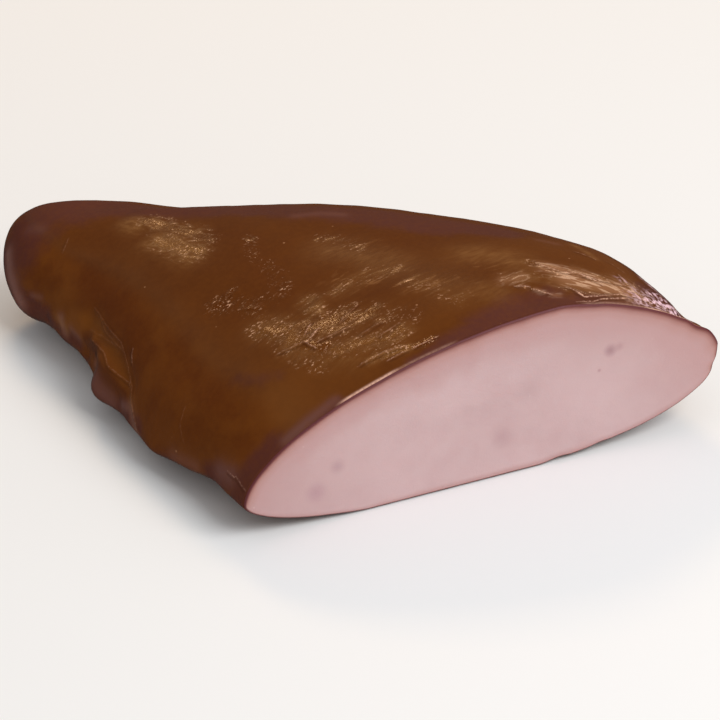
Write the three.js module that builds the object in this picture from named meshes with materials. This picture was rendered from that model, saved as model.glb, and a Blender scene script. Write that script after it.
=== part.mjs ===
// A smoked turkey breast: one boneless lobe in its browned skin, cut straight
// across its thick end and narrowing to a round tip. Millimetres, +Z up.
// It rests on its underside and the cut face looks along -Y. The origin is on
// the table, under the middle of the piece.
import * as THREE from 'three';

// --- Driving dimensions ----------------------------------------------------

// Sections through the lobe, from the cut to the tip. Each one stands upright
// between a point of the left edge and a point of the right edge, given from
// the cut's left corner: along the cut, away from it, and up from the table.
// The crest and the foot are given as a share of the way from left to right
// and a height. A foot below the table is where the meat has settled flat.
const sections = [
  { left: [0, 0, 14], right: [180, 0, 31], crest: [0.65, 61], foot: [0.37, -1] },
  { left: [-4, 25, 13], right: [177, 30, 25], crest: [0.65, 65], foot: [0.41, -1] },
  { left: [-9, 48, 11], right: [165, 67, 26], crest: [0.61, 62], foot: [0.44, -1] },
  { left: [-12, 73, 10], right: [137, 100, 25], crest: [0.57, 60], foot: [0.46, -1] },
  { left: [-13, 99, 11], right: [109, 125, 24], crest: [0.55, 56], foot: [0.48, -1] },
  { left: [-13, 125, 14], right: [80, 150, 24], crest: [0.53, 49], foot: [0.49, 0] },
  { left: [-17, 155, 17], right: [48, 176, 24], crest: [0.51, 44], foot: [0.5, 2] },
  { left: [-28, 186, 20], right: [14, 195, 22], crest: [0.5, 48], foot: [0.5, 5] },
];

// How full the four quarters of a section are: 2 is an ellipse, less is
// leaner and more is squarer. In order: top left, top right, bottom right,
// bottom left.
const cutFullness = [1.7, 1.45, 2.6, 1.9];
const bodyFullness = [1.9, 2.0, 2.3, 2.2];
const tipFullness = [1.9, 1.7, 2.1, 2.2];
const cutReach = 1.5;      // sections over which the cut's form gives way to the body's
const tipStart = 3;        // section from which the body's form gives way to the tip's

// Lobes and hollows: a place on the skin, how far they reach and how much
// they stand out.
const swells = [
  { at: [-17, 163, 9], reach: 11, rise: 1.9 },    // knob under the tip
  { at: [-15, 146, 8], reach: 9, rise: -0.9 },    // neck behind the knob
  { at: [-13, 122, 12], reach: 11, rise: -2.0 },  // straight underside of the first lobe
  { at: [-13, 109, 16], reach: 8, rise: -3.0 },   // notch between the first and second lobe
  { at: [-13, 97, 12], reach: 7, rise: 2.2 },     // second lobe
  { at: [-12, 80, 9], reach: 7, rise: -0.8 },
  { at: [-10, 55, 7], reach: 7, rise: 1.2 },      // third lobe
  { at: [-4, 24, 9], reach: 12, rise: -1.7 },     // hollow towards the cut
  { at: [20, 170, 43], reach: 10, rise: -1.3 },   // saddle between tip and body
  { at: [42, 160, 43], reach: 12, rise: -0.9 },
  { at: [86, 117, 51], reach: 24, rise: 0.6 },    // hump along the far side
  { at: [120, 70, 4], reach: 26, rise: -2.2 },    // hollow of the bone side
];

// Folds of the skin: a path along the surface, half the width and the rise.
const folds = [
  { path: [[-9, 116, 28], [-9, 100, 27], [-9, 88, 26], [-10, 78, 22]], width: 4.5, rise: -1.7 },
  { path: [[-10, 110, 23], [-11, 92, 21], [-10, 78, 20]], width: 3, rise: 1.0 },
  { path: [[-13, 106, 15], [-13, 96, 15], [-12, 84, 14]], width: 4, rise: -1.0 },
  { path: [[-15, 152, 14], [-13, 134, 15], [-12, 118, 16]], width: 4, rise: -0.8 },
  { path: [[176, 22, 14], [162, 58, 8], [134, 90, 6]], width: 6, rise: -1.8 },
  { path: [[96, 118, 6], [70, 140, 5], [44, 158, 6]], width: 5, rise: -1.2 },
];

// The far shoulder drops away just behind the rim of the cut.
const shoulder = { at: [170, 3, 43], reach: 9, rise: -3.2 };
const rimLip = 2.5;        // depth of rim that the shoulder leaves standing
const cutFlat = 2;         // near the cut the relief turns into the cut's plane

const bodyRings = 40;      // rings from the cut to the last full section
const tipRings = 10;       // rings of the rounded tip
const ringPoints = 96;     // points round each ring
const cutRings = 3;        // rings that fill the cut face
const traceSteps = 720;    // fine steps that an even ring is spaced from

const skinColour = 0x6b3d1c;

// --- Curves and sections ---------------------------------------------------

const lastSection = sections.length - 1;
const clamp01 = (value) => Math.min(Math.max(value, 0), 1);
const mix = (from, to, share) => from + (to - from) * share;

function smoothStep(from, to, value) {
  const share = clamp01((value - from) / (to - from));
  return share * share * (3 - 2 * share);
}

// A natural cubic spline through evenly spaced numbers, as a function of the
// place along them.
function smoothThrough(keys) {
  const last = keys.length - 1;
  const bend = keys.map(() => 0);
  const carry = keys.map(() => 0);
  for (let i = 1; i < last; i += 1) {
    carry[i] = 1 / (4 - carry[i - 1]);
    const turn = 6 * (keys[i + 1] - 2 * keys[i] + keys[i - 1]);
    bend[i] = (turn - bend[i - 1]) * carry[i];
  }
  for (let i = last - 1; i > 0; i -= 1) {
    bend[i] -= carry[i] * bend[i + 1];
  }
  return (place) => {
    const i = Math.min(Math.floor(place), last - 1);
    const after = place - i;
    const before = 1 - after;
    const curve = (before ** 3 - before) * bend[i] + (after ** 3 - after) * bend[i + 1];
    return before * keys[i] + after * keys[i + 1] + curve / 6;
  };
}

const smoothField = (field, index) => smoothThrough(sections.map((section) => section[field][index]));
const leftEdge = [0, 1, 2].map((axis) => smoothField('left', axis));
const rightEdge = [0, 1, 2].map((axis) => smoothField('right', axis));
const crest = [0, 1].map((index) => smoothField('crest', index));
const foot = [0, 1].map((index) => smoothField('foot', index));

function fullnessAt(place, quarter) {
  const cutToBody = smoothStep(0, cutReach, place);
  const bodyToTip = smoothStep(tipStart, lastSection, place);
  const full = mix(cutFullness[quarter], bodyFullness[quarter], cutToBody);
  return full + (tipFullness[quarter] - bodyFullness[quarter]) * bodyToTip;
}

// The section at a place, as a function of the angle round it: 0 is the right
// edge, a quarter turn the crest, a half turn the left edge. Past the last
// full section it closes like a dome.
function sectionAt(place) {
  const pastFull = clamp01(place - (lastSection - 1));
  const open = Math.sqrt(1 - pastFull ** 2);
  const [leftX, leftY, leftZ] = leftEdge.map((edge) => edge(place));
  const [rightX, rightY, rightZ] = rightEdge.map((edge) => edge(place));
  const [crestShare, crestZ] = crest.map((value) => value(place));
  const [footShare, footZ] = foot.map((value) => value(place));
  const middleZ = (crestZ + footZ) / 2;
  const closeShare = (share) => mix(0.5, share, open);
  const closeHeight = (height) => mix(middleZ, height, open);
  const quarters = [0, 1, 2, 3].map((quarter) => 2 / fullnessAt(place, quarter));

  return (angle) => {
    const across = Math.cos(angle);
    const up = Math.sin(angle);
    const onRight = across >= 0;
    const onTop = up >= 0;
    const quarter = onTop ? (onRight ? 1 : 0) : (onRight ? 2 : 3);
    const sideShare = Math.abs(across) ** quarters[quarter];
    const heightShare = Math.abs(up) ** quarters[quarter];
    const endShare = closeShare(onTop ? crestShare : footShare);
    const endZ = closeHeight(onTop ? crestZ : footZ);
    const share = mix(endShare, closeShare(onRight ? 1 : 0), sideShare);
    const z = mix(closeHeight(onRight ? rightZ : leftZ), endZ, heightShare);
    return new THREE.Vector3(mix(leftX, rightX, share), mix(leftY, rightY, share), z);
  };
}

// A ring of points spaced evenly round the section at a place.
function ringAt(place) {
  const section = sectionAt(place);
  const trace = [];
  const travelled = [0];
  for (let step = 0; step <= traceSteps; step += 1) {
    trace.push(section((step / traceSteps) * Math.PI * 2));
    if (step > 0) {
      travelled.push(travelled[step - 1] + trace[step].distanceTo(trace[step - 1]));
    }
  }
  const ring = [];
  let step = 0;
  for (let i = 0; i < ringPoints; i += 1) {
    const target = (i / ringPoints) * travelled[traceSteps];
    while (travelled[step + 1] < target) {
      step += 1;
    }
    const share = (target - travelled[step]) / (travelled[step + 1] - travelled[step] || 1);
    ring.push(trace[step].clone().lerp(trace[step + 1], share));
  }
  return ring;
}

// --- Relief ----------------------------------------------------------------

const bell = (distance, reach) => Math.exp(-((distance / reach) ** 2));

function distanceToPath(point, path) {
  let nearest = Infinity;
  const closest = new THREE.Vector3();
  for (let i = 1; i < path.length; i += 1) {
    const stretch = new THREE.Line3(new THREE.Vector3(...path[i - 1]), new THREE.Vector3(...path[i]));
    stretch.closestPointToPoint(point, true, closest);
    nearest = Math.min(nearest, closest.distanceTo(point));
  }
  return nearest;
}

function reliefAt(point) {
  let rise = 0;
  for (const swell of swells) {
    rise += swell.rise * bell(point.distanceTo(new THREE.Vector3(...swell.at)), swell.reach);
  }
  for (const fold of folds) {
    rise += fold.rise * bell(distanceToPath(point, fold.path), fold.width);
  }
  const shoulderShare = bell(point.distanceTo(new THREE.Vector3(...shoulder.at)), shoulder.reach);
  return rise + shoulder.rise * shoulderShare * (1 - bell(point.y, rimLip));
}

// The outward direction at a point of the rings, from its four neighbours.
function outwardAt(rings, i, j) {
  const ring = rings[i];
  const along = rings[i + 1][j].clone().sub(rings[Math.max(i - 1, 0)][j]);
  const round = ring[(j + 1) % ringPoints].clone().sub(ring[(j + ringPoints - 1) % ringPoints]);
  return along.cross(round).normalize();
}

// Moves a point out by the relief, keeps the cut flat and settles the foot on
// the table.
function finish(rings, i, j) {
  const point = rings[i][j];
  const outward = outwardAt(rings, i, j);
  const sideways = 1 - bell(point.y, cutFlat);
  outward.set(outward.x, outward.y * sideways, outward.z);
  const moved = point.clone().addScaledVector(outward, reliefAt(point));
  if (i === 0) {
    moved.y = 0;
  }
  moved.z = Math.max(moved.z, 0);
  return moved;
}

// --- The solid -------------------------------------------------------------

function skinRings() {
  const places = [];
  for (let i = 0; i < bodyRings; i += 1) {
    places.push((i / bodyRings) * (lastSection - 1));
  }
  for (let i = 0; i < tipRings; i += 1) {
    places.push(lastSection - 1 + Math.sin((i / tipRings) * Math.PI / 2));
  }
  const traced = places.map(ringAt);
  const tip = sectionAt(lastSection)(0);
  traced.push(traced[0].map(() => tip));
  const finished = places.map((place, i) => traced[i].map((point, j) => finish(traced, i, j)));
  return { rings: finished, tip };
}

// The cut face: rings that shrink from the rim to the middle of the face.
function cutFaceRings(rim) {
  const centre = rim.reduce((sum, point) => sum.add(point), new THREE.Vector3());
  centre.divideScalar(rim.length);
  const rings = [];
  for (let k = 1; k <= cutRings; k += 1) {
    const share = k / (cutRings + 1);
    rings.push(rim.map((point) => point.clone().lerp(centre, share)));
  }
  return { rings, centre };
}

function breastGeometry() {
  const skin = skinRings();
  const face = cutFaceRings(skin.rings[0]);
  const ordered = [...face.rings.slice().reverse(), ...skin.rings];
  const points = [face.centre, ...ordered.flat(), skin.tip];
  const indices = [];
  const indexOf = (ring, j) => 1 + ring * ringPoints + (j % ringPoints);
  const lastRing = ordered.length - 1;
  for (let j = 0; j < ringPoints; j += 1) {
    indices.push(0, indexOf(0, j), indexOf(0, j + 1));
    indices.push(points.length - 1, indexOf(lastRing, j + 1), indexOf(lastRing, j));
    for (let ring = 0; ring < lastRing; ring += 1) {
      const [a, b] = [indexOf(ring, j), indexOf(ring, j + 1)];
      const [c, d] = [indexOf(ring + 1, j + 1), indexOf(ring + 1, j)];
      indices.push(a, d, c, a, c, b);
    }
  }
  const geometry = new THREE.BufferGeometry();
  geometry.setFromPoints(points);
  geometry.setIndex(indices);
  geometry.computeBoundingBox();
  const middle = geometry.boundingBox.getCenter(new THREE.Vector3());
  geometry.translate(-middle.x, -middle.y, 0);
  geometry.computeVertexNormals();
  return geometry;
}

const breast = new THREE.Group();
const skinMaterial = new THREE.MeshStandardMaterial({
  color: skinColour, roughness: 0.35, metalness: 0,
});
const meat = new THREE.Mesh(breastGeometry(), skinMaterial);
meat.name = 'turkey_breast';
breast.add(meat);

export default breast;
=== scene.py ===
"""A smoked turkey breast: one lobe in its browned, moist skin, cut across to show pale pink meat."""
import math

import bpy
import numpy as np
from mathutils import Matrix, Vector


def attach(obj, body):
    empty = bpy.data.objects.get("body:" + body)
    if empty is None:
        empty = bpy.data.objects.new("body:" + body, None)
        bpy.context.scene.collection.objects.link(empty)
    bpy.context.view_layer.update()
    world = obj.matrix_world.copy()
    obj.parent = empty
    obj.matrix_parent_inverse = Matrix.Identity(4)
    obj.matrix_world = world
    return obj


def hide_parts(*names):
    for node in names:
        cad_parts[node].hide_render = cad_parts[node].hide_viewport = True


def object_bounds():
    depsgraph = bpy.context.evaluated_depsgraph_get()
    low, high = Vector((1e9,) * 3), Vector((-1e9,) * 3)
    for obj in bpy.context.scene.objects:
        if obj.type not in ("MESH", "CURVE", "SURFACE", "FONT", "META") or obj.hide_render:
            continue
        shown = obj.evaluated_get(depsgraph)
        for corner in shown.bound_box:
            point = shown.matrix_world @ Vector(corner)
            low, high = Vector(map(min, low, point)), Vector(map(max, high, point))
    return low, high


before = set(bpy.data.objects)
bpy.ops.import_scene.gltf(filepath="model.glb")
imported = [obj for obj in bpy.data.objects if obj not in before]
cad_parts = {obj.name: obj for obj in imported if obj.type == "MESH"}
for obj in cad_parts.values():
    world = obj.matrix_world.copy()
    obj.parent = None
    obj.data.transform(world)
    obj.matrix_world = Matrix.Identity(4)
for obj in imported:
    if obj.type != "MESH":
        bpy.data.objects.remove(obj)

CAD_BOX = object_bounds()
NODE = "turkey_breast"
MM = 0.001

# --- Form, in millimetres from the cut's left corner --------------------------
# X runs along the cut, Y away from it and Z up from the table.

CUT_WIDTH = 180.0

# Upright sections from the cut to the tip: left edge, right edge, crest and foot.
# Crest and foot are a share of the way from left to right, and a height.
SECTIONS = [
    {"left": (0, 0, 14), "right": (CUT_WIDTH, 0, 31), "crest": (0.65, 61), "foot": (0.37, -1)},
    {"left": (-4, 25, 13), "right": (177, 30, 25), "crest": (0.65, 65), "foot": (0.41, -1)},
    {"left": (-9, 48, 11), "right": (165, 67, 26), "crest": (0.61, 62), "foot": (0.44, -1)},
    {"left": (-12, 73, 10), "right": (137, 100, 25), "crest": (0.57, 60), "foot": (0.46, -1)},
    {"left": (-13, 99, 11), "right": (109, 125, 24), "crest": (0.55, 56), "foot": (0.48, -1)},
    {"left": (-13, 125, 14), "right": (80, 150, 24), "crest": (0.53, 49), "foot": (0.49, 0)},
    {"left": (-17, 155, 17), "right": (48, 176, 24), "crest": (0.51, 44), "foot": (0.5, 2)},
    {"left": (-28, 186, 20), "right": (14, 195, 22), "crest": (0.5, 48), "foot": (0.5, 5)},
]

# Fullness of a section's quarters: top left, top right, bottom right, bottom left.
CUT_FULLNESS = np.array((1.7, 1.45, 2.6, 1.9))
BODY_FULLNESS = np.array((1.9, 2.0, 2.3, 2.2))
TIP_FULLNESS = np.array((1.9, 1.7, 2.1, 2.2))
CUT_REACH = 1.5
TIP_START = 3

# Lobes and hollows: place, reach and rise.
SWELLS = [
    ((-17, 163, 9), 11, 1.9),
    ((-15, 146, 8), 9, -0.9),
    ((-13, 122, 12), 11, -2.0),
    ((-13, 109, 16), 8, -3.0),
    ((-13, 97, 12), 7, 2.2),
    ((-12, 80, 9), 7, -0.8),
    ((-10, 55, 7), 7, 1.2),
    ((-4, 24, 9), 12, -1.7),
    ((20, 170, 43), 10, -1.3),
    ((42, 160, 43), 12, -0.9),
    ((86, 117, 51), 24, 0.6),
    ((120, 70, 4), 26, -2.2),
]

# Folds of the skin: path, half the width and rise.
FOLDS = [
    (((-9, 116, 28), (-9, 100, 27), (-9, 88, 26), (-10, 78, 22)), 4.5, -1.7),
    (((-10, 110, 23), (-11, 92, 21), (-10, 78, 20)), 3, 1),
    (((-13, 106, 15), (-13, 96, 15), (-12, 84, 14)), 4, -1),
    (((-15, 152, 14), (-13, 134, 15), (-12, 118, 16)), 4, -0.8),
    (((176, 22, 14), (162, 58, 8), (134, 90, 6)), 6, -1.8),
    (((96, 118, 6), (70, 140, 5), (44, 158, 6)), 5, -1.2),
]

SHOULDER = ((170, 3, 43), 9, -3.2)
RIM_LIP = 2.5
CUT_FLAT = 2.0

# Lumps, dents and small folds that the solid is too coarse for: path, half the width and rise.
LUMPS = [
    (((46, 45, 55), (50, 47, 56)), 3, 0.8),
    (((46, 40, 55), (46, 39, 55)), 1.6, 0.6),
    (((22, 146, 45), (24, 141, 47)), 5, 0.8),
    (((26, 74, 50), (30, 72, 51)), 1, 0.4),
    (((28, 63, 50), (33, 60, 51)), 1, 0.4),
    (((29, 48, 49), (31, 43, 49), (35, 40, 51), (40, 42, 53)), 1.2, 0.45),
    (((43, 17, 51), (51, 17, 54)), 1.3, 0.4),
    (((112, 15, 64), (118, 10, 63), (125, 6, 61), (134, 4, 58), (142, 4, 56), (151, 5, 53)), 1, 0.5),
    (((108, 7, 62), (118, 4, 62), (130, 1, 59)), 3, -0.9),
    (((92, 0, 0), (96, 0, 0)), 2.5, -1.6),
    (((117, 0, 1), (119, 0, 1)), 2.5, -1.6),
    (((133, 0, 4), (135, 0, 4)), 2, -1.4),
    (((180, 0, 23), (179, 4, 23)), 2, -1.6),
    (((162, 0, 44), (162, 3, 44)), 2.5, -1),
    (((165, 14, 46), (168, 12, 43)), 3.5, 1),
    (((171, 1, 41), (173, 6, 39)), 3, -1.5),
    (((172, 12, 37), (173, 15, 37)), 2, -0.9),
    (((176, 0, 36), (176, 8, 34)), 4, 1.3),
    (((178, 0, 17), (177, 6, 16)), 5, 1.5),
    (((15, 169, 43), (10, 170, 43)), 6, -0.8),
    (((30, 151, 45), (40, 141, 48), (44, 136, 49)), 5, 0.9),
    (((59, 122, 54), (62, 117, 55), (71, 111, 57)), 6, -0.5),
    (((-13, 117, 12), (-10, 116, 16)), 2.5, -1.2),
    (((-15, 100, 13), (-15, 94, 11)), 5, 1),
    (((-18, 157, 17), (-16, 153, 18), (-15, 149, 19)), 1.2, -0.7),
    (((-19, 161, 14), (-18, 158, 20)), 1.2, -0.5),
    (((-15, 145, 14), (-12, 143, 21)), 1.5, -0.5),
    (((-13, 137, 14), (-11, 134, 21)), 1.5, -0.5),
    (((150, 60, 50), (136, 84, 46), (118, 100, 46)), 3, -0.8),
    (((154, 62, 43), (140, 86, 40), (120, 105, 40)), 4, 0.7),
    (((90, 122, 44), (70, 140, 40), (52, 158, 38)), 3.5, -0.8),
    (((96, 126, 38), (76, 144, 34)), 4, 0.6),
    (((168, 50, 32), (158, 76, 30)), 3.5, -0.7),
]

# Thin creases with a painted highlight: path, brightness and rise; shadow is painted to the right of a
# path.
CREASES = [
    (((-11, 65, 11), (-11, 70, 16), (-9, 76, 22), (-8, 84, 26), (-6, 92, 30), (-6, 105, 30), (-6, 117, 31)),
     0.14, 0.5),
    (((-9, 114, 25), (-8, 107, 26), (-7, 97, 27)), 0.08, 0.25),
    (((-10, 110, 23), (-10, 99, 24), (-11, 92, 22), (-10, 85, 22), (-9, 78, 22)), 0.15, 0.45),
    (((-5, 84, 30), (-6, 82, 28)), 0.4, 0.3),
    (((-1, 155, 39), (-3, 153, 37)), 0.12, 0),
    (((-2, 45, 27), (-4, 43, 23), (-5, 39, 20)), 0.07, 0),
    (((0, 12, 20), (0, 10, 20)), 0.35, 0),
    (((1, 8, 20), (1, 3, 19)), 0.2, 0),
    (((29, 33, 48), (32, 32, 49), (36, 31, 51)), 0.3, 0.4),
    (((38, 31, 52), (42, 33, 53)), 0.8, 0.5),
    (((39, 35, 52), (41, 37, 53)), 0.6, 0.4),
    (((41, 28, 52), (45, 27, 54), (50, 27, 55)), 0.3, 0.4),
    (((51, 32, 56), (57, 35, 58)), 0.2, 0.3),
    (((53, 21, 55), (60, 22, 57)), 0.15, 0.4),
    (((58, 17, 56), (64, 18, 58)), 0.25, 0.4),
    (((48, 10, 51), (52, 10, 52), (56, 10, 53), (62, 8, 55)), 0.5, 0.4),
    (((66, 6, 55), (72, 6, 57)), 0.6, 0.2),
    (((109, 14.5, 64), (111, 13.3, 64)), 1.4, 0.4),
    (((113, 11, 63), (114, 10, 63)), 1.4, 0.4),
    (((115, 8.5, 63), (116, 7.8, 63)), 0.8, 0.3),
    (((122, 24, 64), (124, 21, 64), (127, 18, 63), (132, 17, 62), (138, 12, 59)), 1, 0.4),
    (((125, 8, 62), (128, 4, 60), (134, 4, 59), (143, 6, 56), (151, 6, 52), (157, 5, 49), (164, 8, 44)),
     1, 0.5),
    (((142, 33, 60), (145, 29, 59)), 0.3, 0.2),
    (((151, 28, 56), (154, 24, 54)), 0.15, 0.1),
    (((163, 27, 48), (163, 22, 48), (165, 18, 46), (167, 16, 43), (168, 13, 41)), 0.6, 0.1),
    (((163, 52, 38), (153, 74, 37), (143, 86, 35)), 0.15, 0.4),
    (((103, 122, 38), (88, 135, 36), (78, 145, 33)), 0.15, 0.4),
    (((60, 160, 32), (50, 168, 33)), 0.2, 0.3),
]
# More of them, which lie too close beside those above to be told apart in one list.
NEAR_CREASES = [
    (((-6, 111, 30), (-7, 107, 28), (-7, 101, 28), (-7, 91, 28)), 0.1, 0.2),
    (((37, 30, 51), (38, 27, 51)), 0.6, 0.3),
    (((57, 6, 53), (61, 6, 54)), 0.6, 0.3),
    (((126, 2, 60), (130, 2, 59), (135, 3, 58), (143, 4, 56)), 0.7, 0.2),
    (((134, 15, 61), (144, 13, 57), (148, 13, 55)), 0.25, 0.2),
    (((150, 18, 55), (150, 13, 54), (151, 8, 53)), 0.5, 0.3),
]
CREASE_WIDTH = 0.8            # half the width of their rise
CREASE_REACH = (2.2, 1.2)     # a crease's light and shadow fade between these distances from it

# --- Finish -------------------------------------------------------------------

BODY_RINGS = 205
TIP_RINGS = 36
NEAR_CUT = 1.25               # above 1, the rings draw closer near the cut
RING_POINTS = 380
TRACE_STEPS = 1800
UNDERSIDE_DETAIL = 0.35       # how close the points lie underneath, against those on top
UNDERSIDE_BAND = (1.0, 6.0)   # the height over which they draw closer
RIM_ROUNDING = 0.9            # radius of the skin's edge at the cut
RIM_CLEARANCE = 1.05          # the skin behind the edge starts at this many radii
RIM_STEPS = 4
FACE_SHARES = (0.015, 0.03, 0.05, 0.075, 0.105, 0.14, 0.19, 0.26, 0.35, 0.46, 0.58, 0.71, 0.86)
UNDER_EDGE = 0.18             # the cured edge's width along the bottom, as a share of its width at the top
EDGE_SLOPE = (-0.6, 0.5)      # how far the rim faces up where that width grows
LEFT_EDGE = 0.75              # the cured edge's width at the left corner, as a share of the rest
LEFT_EDGE_SPAN = (20.0, 80.0)
FAR_FROM_EDGE = 9.0           # stands for the distance of all points that aren't on the cut

# Random relief: size of the hills, height and seed.
UNEVENNESS = ((26.0, 0.45, 1), (11.0, 0.22, 2))
RIPPLES = ((4.2, 0.28, 3), (2.2, 0.15, 4))
PIMPLES = ((3.0, 0.05, 5),)
CUT_UNEVENNESS = ((16.0, 0.12, 6), (5.0, 0.05, 7))
RIPPLE_STRETCH = 2.6
DRY_RIPPLES = 0.18            # share of the ripples' height on dry skin
WET_RIPPLES = 1.1             # and what full wetness adds
CUT_RELIEF = 0.4              # share of the fine relief that is left at the cut
CUT_RELIEF_REACH = 6.0

# Large numbers that scatter the cells of the random hills.
CELL_SCATTER = (73856093, 19349663, 83492791)
SEED_STEP = 2654435
SEED_START = 12345
BIT_MIXER = 1274126177
SLOPE_BITS = 10               # each slope is made from this many bits
HILL_HEIGHT = 1.5             # brings the hills to about -1 to 1


def cut_corner():
    """The cut's left corner in the part's frame, in metres."""
    return Vector((CAD_BOX[1].x - CUT_WIDTH * MM, CAD_BOX[0].y, 0.0))


def smooth_step(low, high, value):
    """0 up to low and 1 from high on, with a soft rise between."""
    share = np.clip((value - low) / (high - low), 0.0, 1.0)
    return share * share * (3.0 - 2.0 * share)


def bell(distance, reach):
    """1 at no distance, falling softly to near 0 at twice the reach."""
    return np.exp(-((distance / reach) ** 2))


def smooth_through(keys, places):
    """A natural cubic spline through evenly spaced keys, read at the given places."""
    keys = np.asarray(keys, float)
    last = len(keys) - 1
    links = np.diag(np.full(last - 1, 4.0)) + np.eye(last - 1, k=1) + np.eye(last - 1, k=-1)
    bend = np.zeros_like(keys)
    bend[1:-1] = np.linalg.solve(links, 6.0 * np.diff(keys, 2, axis=0))
    index = np.clip(np.floor(places).astype(int), 0, last - 1)
    after = (places - index)[:, None]
    before = 1.0 - after
    curve = (before**3 - before) * bend[index] + (after**3 - after) * bend[index + 1]
    return before * keys[index] + after * keys[index + 1] + curve / 6.0


def sweep(places, angles):
    """The lobe's sections at the given places, as rings of points. Angle 0 is the right edge."""
    last = len(SECTIONS) - 1
    field = {name: smooth_through([s[name] for s in SECTIONS], places) for name in SECTIONS[0]}
    opened = np.sqrt(1.0 - np.clip(places - (last - 1), 0.0, 1.0) ** 2)
    to_body = smooth_step(0, CUT_REACH, places)[:, None]
    to_tip = smooth_step(TIP_START, last, places)[:, None]
    full = CUT_FULLNESS + (BODY_FULLNESS - CUT_FULLNESS) * to_body + (TIP_FULLNESS - BODY_FULLNESS) * to_tip
    middle = (field["crest"][:, 1] + field["foot"][:, 1]) / 2.0

    def share(value):
        return (0.5 + opened * (value - 0.5))[:, None]

    def height(value):
        return (middle + opened * (value - middle))[:, None]

    across = np.cos(angles)[None, :]
    up = np.sin(angles)[None, :]
    on_right = across >= 0
    on_top = up >= 0
    quarter = np.where(on_top, np.where(on_right, 1, 0), np.where(on_right, 2, 3))
    power = 2.0 / np.take_along_axis(full, np.repeat(quarter, len(places), axis=0), axis=1)
    side_share = np.where(on_right, share(1.0), share(0.0))
    side_z = np.where(on_right, height(field["right"][:, 2]), height(field["left"][:, 2]))
    end_share = np.where(on_top, share(field["crest"][:, 0]), share(field["foot"][:, 0]))
    end_z = np.where(on_top, height(field["crest"][:, 1]), height(field["foot"][:, 1]))
    way = end_share + (side_share - end_share) * np.abs(across) ** power
    z = side_z + (end_z - side_z) * np.abs(up) ** power
    left = field["left"][:, None, :2]
    right = field["right"][:, None, :2]
    return np.concatenate([left + (right - left) * way[..., None], z[..., None]], axis=2)


def spaced_evenly(rings, count):
    """Each ring again with its points the same distance apart, but wider apart underneath."""
    closed = np.concatenate([rings, rings[:, :1]], axis=1)
    steps = np.linalg.norm(np.diff(closed, axis=1), axis=2)
    steps *= UNDERSIDE_DETAIL + (1.0 - UNDERSIDE_DETAIL) * smooth_step(*UNDERSIDE_BAND, rings[..., 2])
    travelled = np.concatenate([np.zeros((len(rings), 1)), steps.cumsum(axis=1)], axis=1)
    even = np.empty((len(rings), count, 3))
    for i, ring in enumerate(closed):
        targets = np.arange(count) / count * travelled[i, -1]
        for axis in range(3):
            even[i, :, axis] = np.interp(targets, travelled[i], ring[:, axis])
    return even


def outward(rings):
    """The outward direction at every point of the rings."""
    along = np.gradient(rings, axis=0)
    around = np.roll(rings, -1, axis=1) - np.roll(rings, 1, axis=1)
    direction = np.cross(along, around)
    return direction / (np.linalg.norm(direction, axis=2, keepdims=True) + 1e-12)


def distance_to(points, place):
    return np.linalg.norm(points - np.array(place, float), axis=-1)


def along_run(points, start, end):
    """From the nearest place on a straight run to each point, and the run itself."""
    start = np.array(start, float)
    run = np.array(end, float) - start
    share = np.clip(((points - start) @ run) / (run @ run), 0.0, 1.0)
    return points - start - share[..., None] * run, run


def distance_to_path(points, path):
    nearest = np.full(points.shape[:-1], np.inf)
    for start, end in zip(path[:-1], path[1:]):
        nearest = np.minimum(nearest, np.linalg.norm(along_run(points, start, end)[0], axis=-1))
    return nearest


def hills(points, size, seed):
    """Smooth random hills and dips of about the given size, from about -1 to 1."""
    grid = points / size
    corner = np.floor(grid).astype(np.int64)
    part = grid - corner
    fade = part**3 * (part * (part * 6.0 - 15.0) + 10.0)
    most = 2**SLOPE_BITS - 1
    total = np.zeros(points.shape[:-1])
    for step in np.ndindex(2, 2, 2):
        cell = (corner + step).astype(np.uint32)
        code = np.uint32(seed * SEED_STEP + SEED_START)
        for axis, scatter in enumerate(CELL_SCATTER):
            code = code ^ cell[..., axis] * np.uint32(scatter)
        code = (code ^ (code >> np.uint32(13))) * np.uint32(BIT_MIXER)
        code = code ^ (code >> np.uint32(16))
        slopes = [(code >> np.uint32(axis * SLOPE_BITS)) & np.uint32(most) for axis in range(3)]
        slopes = np.stack(slopes, axis=-1) / (most / 2.0) - 1.0
        weight = np.prod(np.where(step, fade, 1.0 - fade), axis=-1)
        total += weight * (slopes * (part - step)).sum(axis=-1)
    return total * HILL_HEIGHT


def layered_hills(points, layers):
    """Hills of several sizes, one on another."""
    return sum(height * hills(points, size, seed) for size, height, seed in layers)


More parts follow.
